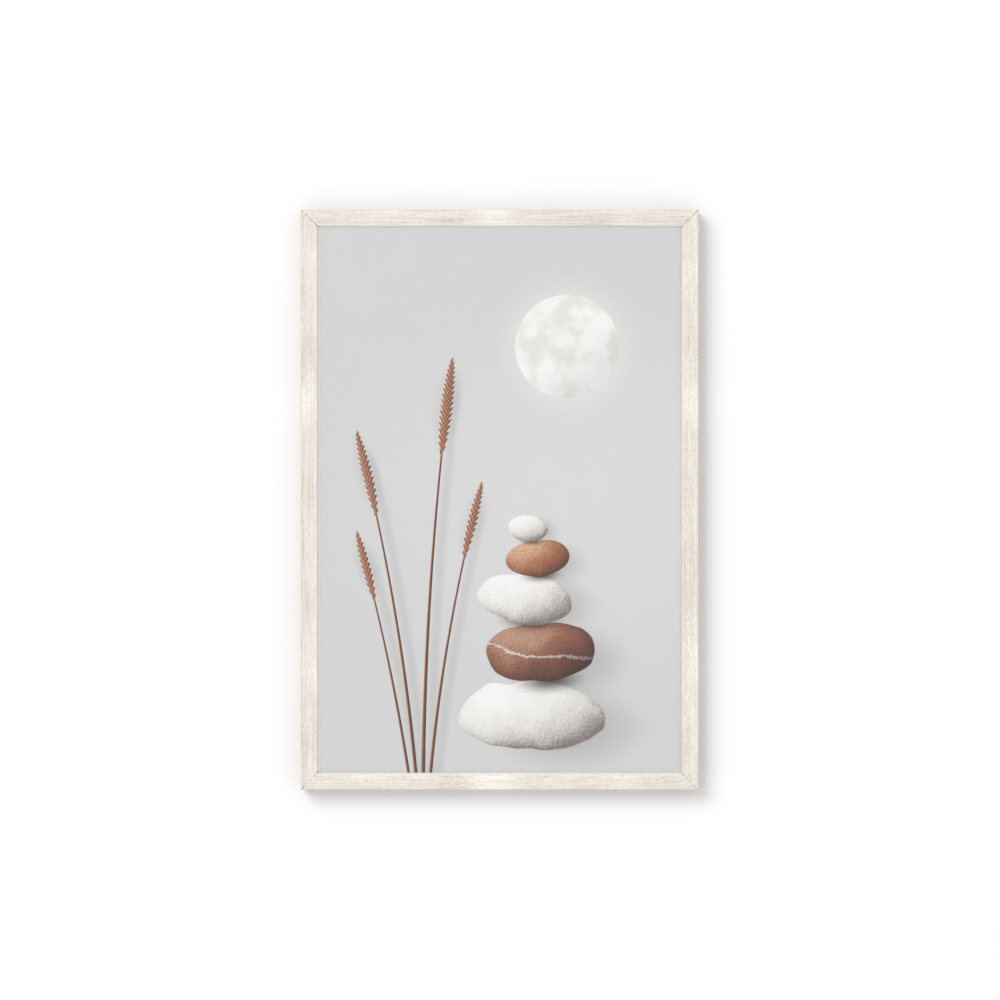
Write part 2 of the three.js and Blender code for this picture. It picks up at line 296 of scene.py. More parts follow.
# How far the wood stands proud at a place. Only the peaks of a noise make a groove or a nick.
def woodRelief(x, inset, depth, seed):
    m, across, broad = toolMarks, toolMarks["groovePitch"], toolMarks["wavePitch"]
    groove = noise.noise(Vector((x / m["grooveLength"], depth / across, inset / across)) + seed)
    wave = noise.noise(Vector((x / m["waveLength"], depth / broad, inset / broad)) - seed)
    proud = m["waveDeep"] * wave - m["grooveDeep"] * max(0, groove - 0.05)
    if depth < 1 and (inset < m["edges"][0] or inset > moulding["face"] - m["edges"][1]):
        soft = m["wornPitch"]
        nick = noise.noise(Vector((x / m["nickLength"], depth, inset)) + 3 * seed)
        worn = noise.noise(Vector((x / m["wornLength"], depth / soft, inset / soft)) - 2 * seed)
        proud -= m["nickDeep"] * (max(0, nick - 0.42) + 0.6 * max(0, worn - 0.25))
    return proud


def isShort(side):
    return side in ("top", "bottom")


def railPlace(side):
    out = Vector((0, frontY, -(outerHeight if isShort(side) else outerWidth) / 2)) * mm
    turned = Matrix.Rotation(math.radians(sides[side]["turn"]), 4, "Y")
    return Matrix.Translation(middle * mm) @ turned @ Matrix.Translation(out)


def makeRail(side, length, seed):
    section = mouldingSection()
    count = len(section)
    normals = []
    for i in range(count):  # each section point's way out of the wood
        before, after = Vector(section[i - 1]), Vector(section[(i + 1) % count])
        along = (after - before).normalized()
        normals.append(Vector((along.y, -along.x)))
    steps = round(length / moulding["step"])
    setBack = moulding["mitreGap"] / 2 * math.sqrt(2)
    shift = Vector((seed * 7.3, seed * 3.1, seed * 5.7))
    verts = []
    for j in range(steps + 1):
        span = 2 * j / steps - 1
        for (inset, depth), normal in zip(section, normals):
            x = span * (length / 2 - inset - setBack)
            proud = woodRelief(x, inset, depth, shift)
            verts.append((x, depth + normal.y * proud, inset + normal.x * proud))
    rail = meshPiece("moulding_" + side, verts, tubeFaces(steps + 1, count))
    rail.data.set_sharp_from_angle(angle=math.radians(50))
    rail.matrix_world = railPlace(side)
    return rail


# Limed ash: open-grained wood, wire brushed, then painted with a thin white wash and wiped. The wash
# fills the grain unevenly, so the eye sees cream patches that drift along each length, fine darker
# lines with the grain, faint marks of the paint brush across it, and dark joints at the mitres. The
# outer edge is rubbed thin and the back is left bare. Light and shade are painted in as well: each face
# is lighter towards its upper right, the outer sides are darker, with a thinner wash and painted shade,
# so that less light bounces onto the wall, and the picture's edge is whiter, partly from wash that
# gathers there and partly as painted light against the shade of the rounded edge.
limedAsh = {
    # Colours by how much wash there is, from none to thick, and of bare wood by its grain.
    "washed": [(0.0, "#C0B4A6"), (0.25, "#CEC6BC"), (0.5, "#D6CEC5"), (0.72, "#DDD6CD"), (0.95, "#E9E4DD")],
    "bare": [(0.36, "#D9BF98"), (0.52, "#CFB288"), (0.66, "#B8966A")],
    # Each pattern's length along the rail and width across it, and how much wash its low and its high
    # give. Fibres and pores are drawn about three times too wide, so that they show.
    "drift": (75, 30), "driftWash": (0.42, 0.6),
    "grain": (46, 1.2), "grainWash": (0.32, -0.34),
    "fibre": (4.5, 0.65), "fibreWash": (0.3, -0.3),
    "pore": (3, 0.8), "poreWash": (0, -0.18),
    "brush": (0.85, 3.2), "brushWash": (0.14, -0.14),
    "rubbedReach": 3.2, "rubbedWash": -0.1,
    # The picture's edge is whiter: wash that gathers there, and painted light against the shade of the
    # rounded edge.
    "gatherAndLightReach": (2.2, 0.3), "gatherAndLightWhite": 0.3,
    "joint": "#65594F", "jointWidth": 0.5, "jointDark": 0.85, "bridge": (3.4, 3.4),
}


def limedAshMaterial(side, length, patches):
    a, rail, face = limedAsh, sides[side], moulding["face"]
    seed, coat, lightSlope = rail["seed"], rail["coat"], rail["lightSlope"]
    white = a["washed"][-1][1]
    material, tree = newMaterial("limed ash " + side)
    place = placeInMm(tree)
    parts = addNode(tree, "SeparateXYZ", [place])
    along, depth, inset = parts.outputs["X"], parts.outputs["Y"], parts.outputs["Z"]
    moved = addNode(tree, "VectorMath", [place, (seed * 531.0, seed * 97.0, seed * 61.0)], **plus)

    def streaks(size, detail, rough=0.5):
        scale = (1 / size[0], 1 / size[1], 1 / size[1])
        scaled = addNode(tree, "VectorMath", [moved, scale], **times)
        return addNode(tree, "TexNoise", [scaled, 1, detail, rough])

    drift = streaks(a["drift"], 1)
    grain = streaks(a["grain"], 3, 0.6)
    fibres = streaks(a["fibre"], 2)
    pores = streaks(a["pore"], 1)
    brushed = streaks(a["brush"], 1)

    # How much wash lies on the wood, from 0 to 1.
    wash = addNode(tree, "MapRange", [drift, *noiseSpan, *(level + coat for level in a["driftWash"])])
    # Across the face: painted light, lighter towards each face's upper right. Along the outer edge the wash
    # is rubbed thin.
    changes = [addNode(tree, "MapRange", [inset, 0, face, -lightSlope, lightSlope]),
               addNode(tree, "MapRange", [inset, 0, a["rubbedReach"], a["rubbedWash"], 0])]
    for centre, reach, lift in patches:
        off = distance(tree, along, centre)
        changes.append(addNode(tree, "MapRange", [off, 0, reach, lift, 0],
                               interpolation_type="SMOOTHERSTEP"))
    for change in changes:
        wash = addNode(tree, "Math", [wash, change], **plus)
    # The outer side darker: a thinner wash, and painted shade, so that less light bounces onto the wall and
    # the shadow there deepens.
    onSide = addNode(tree, "MapRange", [depth, 1.2, 3])
    outermost = addNode(tree, "Math", [inset, 0.6], operation="LESS_THAN")
    onSide = addNode(tree, "Math", [onSide, outermost], **times)
    wash = addNode(tree, "Math", [onSide, rail["sideWashAndShade"], wash], **timesPlus)

    # The patterns, of which the pores show most where the wash is thin.
    thin = addNode(tree, "MapRange", [wash, 0.3, 0.62, 1, 0.25])
    lines = addNode(tree, "MapRange", [grain, *noiseSpan, *a["grainWash"]])
    faint = addNode(tree, "MapRange", [fibres, *noiseSpan, *a["fibreWash"]])
    ticks = addNode(tree, "MapRange", [pores, 0.6, 0.72, *a["poreWash"]])
    cross = addNode(tree, "MapRange", [brushed, *noiseSpan, *a["brushWash"]])
    ticks = addNode(tree, "Math", [ticks, thin], **times)
    relief = lines
    for pattern in (faint, ticks, cross):
        relief = addNode(tree, "Math", [relief, pattern], **plus)
    wash = addNode(tree, "Math", [wash, relief], **plus)
    colour = addNode(tree, "ValToRGB", [wash], stops=a["washed"])

    # The picture's edge whiter: wash gathered there, and painted light against the rounded edge's shade.
    gatherAndLightFrom, gatherAndLightTo = (face - reach for reach in a["gatherAndLightReach"])
    gatherAndLight = addNode(tree, "MapRange", [inset, gatherAndLightFrom, gatherAndLightTo, 0, a["gatherAndLightWhite"]])
    colour = addNode(tree, "Mix", [gatherAndLight, colour, white], **colourMix)

    # The mitre: a fine dark joint that the wash has bridged in places.
    gone = addNode(tree, "Math", [along], operation="ABSOLUTE")
    gone = addNode(tree, "Math", [gone, inset], **plus)
    gone = addNode(tree, "Math", [length / 2, gone], **minus)
    bridged = streaks(a["bridge"], 1)
    wide = addNode(tree, "MapRange", [bridged, 0.48, 0.58, -0.1, a["jointWidth"] * math.sqrt(2)])
    joint = addNode(tree, "Math", [gone, wide], operation="LESS_THAN")
    joint = addNode(tree, "Math", [joint, a["jointDark"]], **times)
    colour = addNode(tree, "Mix", [joint, colour, a["joint"]], **colourMix)

    # Bare wood behind and inside the rebate, with wash that ran over the back's outer edge.
    wobble = addNode(tree, "MapRange", [fibres, 0, 1, -1.2, 1.2])
    behind = addNode(tree, "Math", [depth, moulding["depth"] - 0.35], operation="GREATER_THAN")
    pastEdge = addNode(tree, "Math", [inset, wobble], **plus)
    pastEdge = addNode(tree, "MapRange", [pastEdge, 0.8, 2.2])
    behind = addNode(tree, "Math", [behind, pastEdge], **times)
    inRebate = addNode(tree, "Math", [depth, moulding["lipThickness"] - 0.1], operation="GREATER_THAN")
    atWall = addNode(tree, "Math", [inset, face - moulding["lip"] - 0.4], operation="GREATER_THAN")
    inRebate = addNode(tree, "Math", [inRebate, atWall], **times)
    bare = addNode(tree, "Math", [behind, inRebate], operation="MAXIMUM")
    bareWood = addNode(tree, "ValToRGB", [grain], stops=a["bare"])
    colour = addNode(tree, "Mix", [bare, colour, bareWood], **colourMix)

    height = addNode(tree, "Bump", {"Height": relief, "Strength": 0.55, "Distance": 0.35 * mm})
    rough = addNode(tree, "MapRange", [wash, 0, 1, 0.78, 0.52])
    addNode(tree, "OutputMaterial", [addNode(tree, "BsdfPrincipled", {
        "Base Color": colour, "Roughness": rough, "IOR": 1.5, "Specular IOR Level": 0.35,
        "Normal": height})])
    return material


# Where the wash is thick or thin along the rails: (place from the middle, reach, lift).
shortPatches = [(-8, 44, 0.26), (-60, 30, -0.1), (106, 34, -0.05), (-142, 22, 0.02), (138, 24, 0.09),
                (-192, 30, -0.08)]
longPatches = [(-182, 48, 0.16), (106, 44, 0.27), (168, 30, -0.1), (12, 40, -0.08), (250, 26, 0.07),
               (-108, 30, -0.08), (-268, 34, -0.08)]
# turn is how far a rail is turned from the bottom one, in degrees, and coat is how thick its wash is all
# along. The next entry is painted light across the face: over 0 it lightens the rail towards the picture
# and under 0 to the outside, so that each face is lighter towards its upper right. The last makes the
# outer side darker, by a thinner wash there and by painted shade, so that less light bounces onto the
# wall and its shadow there deepens, above the top most of all.
sides = {
    "bottom": {"turn": 0, "seed": 1, "coat": 0.1, "lightSlope": 0.09, "sideWashAndShade": -0.12},
    "right": {"turn": -90, "seed": 2, "coat": 0.05, "lightSlope": -0.1, "sideWashAndShade": -0.12},
    "top": {"turn": 180, "seed": 3, "coat": 0, "lightSlope": -0.1, "sideWashAndShade": -0.5},
    "left": {"turn": 90, "seed": 4, "coat": 0.01, "lightSlope": 0.11, "sideWashAndShade": -0.25},
}


def makeMouldings():
    for side, rail in sides.items():
        length, patches = (outerWidth, shortPatches) if isShort(side) else (outerHeight, longPatches)
        if side in ("top", "left"):
            patches = [(-place, reach, lift) for place, reach, lift in patches]
        piece = makeRail(side, length, rail["seed"])
        bodyPiece(piece, limedAshMaterial(side, length, patches), ["rail_" + side])


makeMouldings()
print("four mouldings are cut and limed")

# Giclee print on matt cotton-rag paper: a pale grey ground, an off-white moon, dry brown reeds and a
# cairn of pebbles. Everything is in millimetres from the picture's middle, x to the right and z up.
picture = {
    "ground": {"light": "#E3E3E3", "dark": "#DCDCDC", "place": (120, 0), "reach": (400, 270)},
    "lamp": (-0.52, 0.58, 0.63),  # the way to the light that shades it all: left, out of the sheet, up
    "shadow": "#7F7B7C", "contact": "#3A302C",
    "exposure": 0.78,
    # The ink fades out into the paper's white margin. It does so a little further in at the left and
    # top, as painted light that makes up for the shade the frame's lip throws on the sheet there.
    "marginAndPaintedLight": {"halfSight": (200.6, 300.5), "shift": (0.9, -0.5), "softEdge": 2.6, "white": "#FBFAF8"},
    "moon": {"place": (74, 168), "radius": 57, "bright": "#FFFEFC", "dim": "#ECE9E5", "glow": 0.25},
    # Reeds: where they stand on the sheet's lower edge, height, lean and bend of the tip, half width
    # at foot and tip, length and half width of the ear.
    "lowerEdge": -300,
    "reeds": [
        {"foot": -92, "height": 372, "lean": -34, "bend": -30, "wide": (1.9, 0.7), "ear": (92, 6.5)},
        {"foot": -84, "height": 452, "lean": 6, "bend": 26, "wide": (2.2, 0.7), "ear": (104, 7.5)},
        {"foot": -100, "height": 262, "lean": -40, "bend": -16, "wide": (1.7, 0.6), "ear": (74, 5.6)},
        {"foot": -76, "height": 316, "lean": 30, "bend": 26, "wide": (1.8, 0.7), "ear": (82, 6)},
    ],
    "reedShadow": {"aside": 9, "dark": 0.16},
    # Husks and their bristles: one every pitch. The slant is how far each drops towards the stem, over
    # how far it reaches, and ragged is how far the noise moves it.
    "husks": {"pitch": 6.2, "slant": -1.7, "ragged": 2.2, "tip": 0.45},
    "bristles": {"slant": -3.1, "ragged": 3.5, "share": 0.16, "reach": 2.3, "colour": "#7A4836"},
    "straw": [(0.0, "#C08A68"), (0.35, "#8C553E"), (0.7, "#5E3527"), (1.0, "#3A211A")],
    "husk": [(0.0, "#4A2B20"), (0.3, "#7A4836"), (0.6, "#A86C50"), (1.0, "#D3A383")],
    "chalk": [(0.0, "#837C77"), (0.2, "#A8A19C"), (0.45, "#D9D5D1"), (0.7, "#F2F0ED"), (1.0, "#FFFEFC")],
    "umber": [(0.0, "#4A3028"), (0.22, "#603D32"), (0.5, "#7E5042"), (0.78, "#9F6E59"), (1.0, "#C39A82")],
    "clay": [(0.0, "#5C3A2D"), (0.22, "#7E4E3B"), (0.5, "#A5684E"), (0.78, "#C28B6B"), (1.0, "#E0B698")],
    # Pebbles, from the foot of the cairn up: place, half sizes, tilt in degrees, stone, its specks,
    # and how strongly a vein shows in the one that has it.
    "pebbles": [
        {"place": (34, -238), "half": (80, 38), "tilt": 2, "stone": "chalk", "speck": "#9B928B"},
        {"place": (46, -167), "half": (61, 34), "tilt": -4, "stone": "umber", "speck": "#452D26",
         "vein": 0.6},
        {"place": (27, -109), "half": (52, 27), "tilt": 4, "stone": "chalk", "speck": "#8A6A58"},
        {"place": (41, -64), "half": (35, 20), "tilt": -5, "stone": "clay", "speck": "#5B3527"},
        {"place": (31, -31), "half": (22, 14.5), "tilt": 8, "stone": "chalk", "speck": "#9B928B"},
    ],
}


# A place inside a tilted ellipse: its length is 1 at the ellipse's edge. A push roughens that edge.
def inEllipse(tree, flat, place, half, tilt=0, push=None):
    local = addNode(tree, "Mapping", [
        flat, (place[0], 0, place[1]), (0, math.radians(tilt), 0), (half[0], 1, half[1]),
    ], vector_type="TEXTURE")
    if push:
        local = addNode(tree, "VectorMath", [local, push], **plus)
    return local, addNode(tree, "VectorMath", [local], operation="LENGTH")


def drawMoon(tree, canvas, flat, mottle, fine):
    m = picture["moon"]
    local, spread = inEllipse(tree, flat, m["place"], (m["radius"], m["radius"]))
    glow = addNode(tree, "MapRange", [spread, 1.55, 0.9, 0, m["glow"]], **softStep)
    canvas = addNode(tree, "Mix", [glow, canvas, m["bright"]], **colourMix)
    broad = addNode(tree, "TexNoise", [flat, 1 / 30, 2, 0.45])
    seas = addNode(tree, "MapRange", [broad, 0.42, 0.62, 0, 0.8], **softStep)
    patchy = addNode(tree, "MapRange", [mottle, *noiseSpan, -0.14, 0.2])
    seas = addNode(tree, "Math", [seas, patchy], **plus)
    grit = addNode(tree, "MapRange", [fine, *noiseSpan, -0.1, 0.1])
    seas = addNode(tree, "Math", [seas, grit], **plus, use_clamp=True)
    face = addNode(tree, "Mix", [seas, m["bright"], m["dim"]], **colourMix)
    limb = addNode(tree, "VectorMath", [local, picture["lamp"]], operation="DOT_PRODUCT")
    limb = addNode(tree, "MapRange", [limb, 0.1, -0.85, 0, 0.2], **softStep)
    face = addNode(tree, "Mix", [limb, face, picture["shadow"]], **darken)
    cover = addNode(tree, "MapRange", [spread, 1.006, 0.994], **softStep)
    return addNode(tree, "Mix", [cover, canvas, face], **colourMix)


# A reed's middle line is x = foot + lean t + bend t squared, where t runs from 0 at the foot to 1 at
# the tip. The ear is a row of husks in a chevron round its last stretch.
def drawReed(tree, canvas, x, z, fine, reed):
    footZ, (earLength, earHalf) = picture["lowerEdge"], reed["ear"]
    tipZ = footZ + reed["height"]
    t = addNode(tree, "MapRange", [z, footZ, tipZ])
    curved = addNode(tree, "Math", [t, t], **times)
    bow = addNode(tree, "Math", [curved, reed["bend"], reed["foot"]], **timesPlus)
    line = addNode(tree, "Math", [t, reed["lean"], bow], **timesPlus)
    off = addNode(tree, "Math", [x, line], **minus)
    slope = (reed["lean"] + reed["bend"]) / reed["height"]
    off = addNode(tree, "Math", [off, math.cos(math.atan(slope))], **times)
    aside = addNode(tree, "Math", [off], operation="ABSOLUTE")
    half = addNode(tree, "MapRange", [t, 0, 1, *reed["wide"]])
    lit = addNode(tree, "Math", [off, half], operation="DIVIDE")
    lit = addNode(tree, "MapRange", [lit, -1, 1])
    straw = addNode(tree, "ValToRGB", [lit], stops=picture["straw"])
    inside = addNode(tree, "Math", [half, aside], **minus)
    cover = addNode(tree, "MapRange", [inside, -0.3, 0.3])
    below = addNode(tree, "Math", [z, tipZ], operation="LESS_THAN")
    cover = addNode(tree, "Math", [cover, below], **times)

    soft = picture["reedShadow"]  # to the right, and gone before the tip
    blur = distance(tree, off, soft["aside"])
    shadow = addNode(tree, "MapRange", [blur, soft["aside"], 0, 0, soft["dark"]], **softStep)
    fading = addNode(tree, "MapRange", [z, tipZ - 6, tipZ - 40], **softStep)
    shadow = addNode(tree, "Math", [shadow, fading], **times)
    canvas = addNode(tree, "Mix", [shadow, canvas, picture["shadow"]], **darken)
    canvas = addNode(tree, "Mix", [cover, canvas, straw], **colourMix)

    husks, bristles = picture["husks"], picture["bristles"]

    def slantingRows(kind, start):  # from 0 to 1 across each row
        row = addNode(tree, "Math", [aside, kind["slant"], start], **timesPlus)
        row = addNode(tree, "Math", [fine, kind["ragged"], row], **timesPlus)
        row = addNode(tree, "Math", [row, 1 / husks["pitch"]], **times)
        return addNode(tree, "Math", [row], operation="FRACT")

    up = addNode(tree, "MapRange", [z, tipZ - earLength, tipZ + 4])
    full = addNode(tree, "Math", [up, math.pi], **times)  # how wide the ear is here
    full = addNode(tree, "Math", [full], operation="SINE")
    full = addNode(tree, "Math", [full, 0.55], operation="POWER")
    onRight = addNode(tree, "Math", [off, 0], operation="GREATER_THAN")  # husks grow by turns on each side
    start = addNode(tree, "Math", [onRight, husks["pitch"] / 2, z], **timesPlus)
    husk = slantingRows(husks, start)
    reach = addNode(tree, "MapRange", [husk, 0, 1, earHalf, earHalf * husks["tip"]])
    reach = addNode(tree, "Math", [reach, full], **times)
    inside = addNode(tree, "Math", [reach, aside], **minus)
    cover = addNode(tree, "MapRange", [inside, -0.25, 0.35])
    growing = addNode(tree, "Math", [full, 0.05], operation="GREATER_THAN")
    cover = addNode(tree, "Math", [cover, growing], **times)
    side = addNode(tree, "Math", [off, -0.35 / earHalf, husk], **timesPlus)
    shine = addNode(tree, "MapRange", [side, -0.25, 1.0])
    ear = addNode(tree, "ValToRGB", [shine], stops=picture["husk"])

    awn = slantingRows(bristles, z)
    awn = addNode(tree, "Math", [awn, bristles["share"]], operation="LESS_THAN")
    fringe = addNode(tree, "Math", [full, bristles["reach"] * earHalf], **times)
    fringe = addNode(tree, "Math", [fringe, aside], **minus)
    fringe = addNode(tree, "MapRange", [fringe, 0, earHalf, 0, 0.55])
    fringe = addNode(tree, "Math", [fringe, awn], **times)
    canvas = addNode(tree, "Mix", [fringe, canvas, bristles["colour"]], **colourMix)
    return addNode(tree, "Mix", [cover, canvas, ear], **colourMix)


# A pebble is shaded as a low dome under the lamp, roughened by noises that all the pebbles share.
def drawPebble(tree, canvas, flat, noises, pebble, onAnother):
    (x, z), (halfX, halfZ), tilt = pebble["place"], pebble["half"], pebble["tilt"]
    if onAnother:  # the shadow where it sits on the one below
        seat = (x + 0.14 * halfX, z - 0.94 * halfZ)
        _, spread = inEllipse(tree, flat, seat, (0.8 * halfX, 0.5 * halfZ), tilt)
        contact = addNode(tree, "MapRange", [spread, 1.0, 0.05, 0, 0.88], **softStep)
        canvas = addNode(tree, "Mix", [contact, canvas, picture["contact"]], **darken)
    local, spread = inEllipse(tree, flat, (x, z), (halfX, halfZ), tilt, noises["push"])
    square = addNode(tree, "Math", [spread, 2.6], operation="POWER")
    rise = addNode(tree, "Math", [1.0, square], **minus, use_clamp=True)
    rise = addNode(tree, "Math", [rise], operation="SQRT")
    parts = addNode(tree, "SeparateXYZ", [local])
    across, up = parts.outputs["X"], parts.outputs["Z"]
    normal = addNode(tree, "CombineXYZ", [across, rise, up])
    shade = addNode(tree, "VectorMath", [normal, picture["lamp"]], operation="DOT_PRODUCT")
    shade = addNode(tree, "MapRange", [shade, -0.5, 0.98])
    shade = addNode(tree, "Math", [shade, noises["rub"]], **plus)
    shade = addNode(tree, "Math", [shade, noises["relief"]], **plus, use_clamp=True)
    stone = addNode(tree, "ValToRGB", [shade], stops=picture[pebble["stone"]])
    stone = addNode(tree, "Mix", [noises["speck"], stone, pebble["speck"]], **colourMix)
    if "vein" in pebble:  # a thin quartz band that leans, bows and wavers across it
        bow = addNode(tree, "Math", [across, across], **times)
        bow = addNode(tree, "Math", [bow, -0.22, up], **timesPlus)
        bow = addNode(tree, "Math", [across, 0.34, bow], **timesPlus)
        bow = addNode(tree, "Math", [noises["rub"], 0.5, bow], **timesPlus)
        off = distance(tree, bow, -0.2)
        vein = addNode(tree, "MapRange", [off, 0.045, 0.02, 0, pebble["vein"]], **softStep)
        pale = addNode(tree, "ValToRGB", [shade], stops=picture["chalk"])
        stone = addNode(tree, "Mix", [vein, stone, pale], **colourMix)
    edge = 0.4 / halfZ
    cover = addNode(tree, "MapRange", [spread, 1 + edge, 1 - edge], **softStep)
    return addNode(tree, "Mix", [cover, canvas, stone], **colourMix)


def pictureMaterial(origin):
    material, tree = newMaterial("giclee print on matt rag paper")
    place = placeInMm(tree, origin)
    flat = addNode(tree, "VectorMath", [place, (1, 0, 1)], **times)
    parts = addNode(tree, "SeparateXYZ", [flat])
    x, z = parts.outputs["X"], parts.outputs["Z"]
    mottle = addNode(tree, "TexNoise", [flat, 1 / 26, 5, 0.6])
    fine = addNode(tree, "TexNoise", [flat, 1 / 4, 3, 0.65])
    tooth = addNode(tree, "TexNoise", [flat, 1 / 1.3, 2])

    # What every pebble shares: a push to its outline, fine relief, a worn and sandy tone, and specks.
    wander = addNode(tree, "TexNoise", [flat, 1 / 48, 1.5])
    push = addNode(tree, "VectorMath", [wander.outputs["Color"], (0.5, 0.5, 0.5)], **minus)
    push = addNode(tree, "VectorMath", [push, (0.34, 0, 0.5)], **times)
    nearer = addNode(tree, "VectorMath", [flat, (-0.7, 0, 0.8)], **plus)  # towards the lamp
    nearer = addNode(tree, "TexNoise", [nearer, 1 / 4, 3, 0.65])  # as fine, but moved
    relief = addNode(tree, "Math", [nearer, fine], **minus)
    relief = addNode(tree, "Math", [relief, -0.55], **times)
    rub = addNode(tree, "MapRange", [mottle, 0.25, 0.75, -0.13, 0.13])
    sand = addNode(tree, "TexNoise", [flat, 1 / 2.6, 1])
    sand = addNode(tree, "MapRange", [sand, *noiseSpan, -0.06, 0.06])
    rub = addNode(tree, "Math", [rub, sand], **plus)
    grit = addNode(tree, "TexVoronoi", {"Vector": flat, "Scale": 1 / 3.4}).outputs["Distance"]
    grit = addNode(tree, "MapRange", [grit, 0.26, 0.12])
    patchy = addNode(tree, "MapRange", [fine, 0.5, 0.62, 0, 0.6])
    speck = addNode(tree, "Math", [grit, patchy], **times)
    noises = {"push": push, "rub": rub, "relief": relief, "speck": speck}

    ground = picture["ground"]
    _, spread = inEllipse(tree, flat, ground["place"], ground["reach"])
    fade = addNode(tree, "MapRange", [spread, 0.1, 1.0], **softStep)
    cloudy = addNode(tree, "MapRange", [mottle, 0.2, 0.8, -0.1, 0.1])
    fade = addNode(tree, "Math", [fade, cloudy], **plus, use_clamp=True)
    canvas = addNode(tree, "Mix", [fade, ground["light"], ground["dark"]], **colourMix)
    canvas = drawMoon(tree, canvas, flat, mottle, fine)
    for reed in picture["reeds"]:
        canvas = drawReed(tree, canvas, x, z, fine, reed)
    for pebble in picture["pebbles"]:  # each one's soft shadow on what is behind it
        (px, pz), (halfX, halfZ) = pebble["place"], pebble["half"]
        thrown = (px + 0.5 * halfX, pz - 0.3 * halfZ)
        _, spread = inEllipse(tree, flat, thrown, (1.3 * halfX, 1.5 * halfZ))
        shadow = addNode(tree, "MapRange", [spread, 1.0, 0.2, 0, 0.34], **softStep)
        canvas = addNode(tree, "Mix", [shadow, canvas, picture["shadow"]], **darken)
    for number, pebble in enumerate(picture["pebbles"]):
        canvas = drawPebble(tree, canvas, flat, noises, pebble, number > 0)

    canvas = addNode(tree, "VectorMath", {"Vector": canvas, "Scale": picture["exposure"]}, operation="SCALE")
    # The white margin, wider at the left and top as painted light against the lip's shade.
    m = picture["marginAndPaintedLight"]
    for axis, halfSight, shift in zip((x, z), m["halfSight"], m["shift"]):
        off = distance(tree, axis, shift)
        bare = addNode(tree, "MapRange", [off, halfSight - m["softEdge"], halfSight])
        canvas = addNode(tree, "Mix", [bare, canvas, m["white"]], **colourMix)

    grain = addNode(tree, "MapRange", [tooth, 0, 1, 0.965, 1.03])
    canvas = addNode(tree, "VectorMath", {"Vector": canvas, "Scale": grain}, operation="SCALE")
    bumps = addNode(tree, "Bump", {"Height": tooth, "Strength": 0.15, "Distance": 0.1 * mm})
    addNode(tree, "OutputMaterial", [addNode(tree, "BsdfPrincipled", {
        "Base Color": canvas, "Roughness": 0.75, "IOR": 1.45, "Specular IOR Level": 0.25,
        "Normal": bumps})])
    return material


# Clear acrylic, cast and polished: it all but vanishes seen straight on and mirrors at a slant.
def acrylicMaterial():
    material, tree = newMaterial("clear cast acrylic")
    mirror = addNode(tree, "Fresnel", {"IOR": 1.49})
    inside = addNode(tree, "NewGeometry").outputs["Backfacing"]
    outside = addNode(tree, "Math", [1.0, inside], **minus)
    mirror = addNode(tree, "Math", [mirror, outside], **times)
    through = addNode(tree, "BsdfTransparent")
    gloss = addNode(tree, "BsdfAnisotropic", {"Roughness": 0.02})
    addNode(tree, "OutputMaterial", [addNode(tree, "MixShader", [mirror, through, gloss])])
    return material


# Hardboard: wood fibre pressed hot and wet, smooth and dark brown on this side with pale fibres.
def hardboardMaterial():
    material, tree = newMaterial("tempered hardboard")
    place = placeInMm(tree)
    fibres = addNode(tree, "TexNoise", {"Vector": place, "Scale": 1 / 1.1, "Detail": 4, "Distortion": 1.6})
    patches = addNode(tree, "TexNoise", [place, 1 / 60, 3])
    tone = addNode(tree, "Math", [patches, 0.18], **times)
    tone = addNode(tree, "Math", [fibres, 0.82, tone], **timesPlus)
    colour = addNode(tree, "ValToRGB", [tone], stops=[
        (0.3, "#5E3D26"), (0.5, "#7C5436"), (0.62, "#8F6544"), (0.75, "#AD8560")])
    height = addNode(tree, "Bump", {"Height": fibres, "Strength": 0.3, "Distance": 0.15 * mm})
    addNode(tree, "OutputMaterial", [addNode(tree, "BsdfPrincipled", {
        "Base Color": colour, "Roughness": 0.62, "IOR": 1.5, "Normal": height})])
    return material


def dressNode(name, material):
    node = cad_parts[name]
    for holder in node.material_slots:
        holder.material = material


def dressSheets():
    low, high = boxInMm("print")
    dressNode("print", pictureMaterial((low + high) / 2))
    dressNode("glazing", acrylicMaterial())
    dressNode("backing_board", hardboardMaterial())


dressSheets()
print("print, glazing and backing board are dressed")


# Zinc-plated steel, stamped and tumbled: bright and faintly blue, with rolling lines, fine scratches
# and dull patches where it has been handled.
def zincMaterial():
    material, tree = newMaterial("zinc plated steel, stamped")
    place = placeInMm(tree)
    rolled = addNode(tree, "VectorMath", [place, (1 / 9, 1 / 0.5, 1 / 0.5)], **times)
    lines = addNode(tree, "TexNoise", [rolled, 1, 2])
    cloud = addNode(tree, "TexNoise", [place, 1 / 3.5, 3])
    scratch = addNode(tree, "TexNoise", {"Vector": place, "Scale": 1 / 2.2, "Detail": 1, "Distortion": 6})
    colour = addNode(tree, "ValToRGB", [cloud], stops=[
        (0.3, "#A9A79F"), (0.45, "#B9BBBC"), (0.6, "#C7CACD"), (0.72, "#BFC6CF")])
    rough = addNode(tree, "MapRange", [cloud, *noiseSpan, 0.46, 0.26])
    streak = addNode(tree, "MapRange", [lines, *noiseSpan, -0.05, 0.07])
    rough = addNode(tree, "Math", [rough, streak], **plus)
    marks = addNode(tree, "Math", [lines, scratch], **plus)
    bumps = addNode(tree, "Bump", {"Height": marks, "Strength": 0.25, "Distance": 0.05 * mm})
    addNode(tree, "OutputMaterial", [addNode(tree, "BsdfPrincipled", {
        "Base Color": colour, "Metallic": 1.0, "Roughness": rough, "Normal": bumps})])
    return material


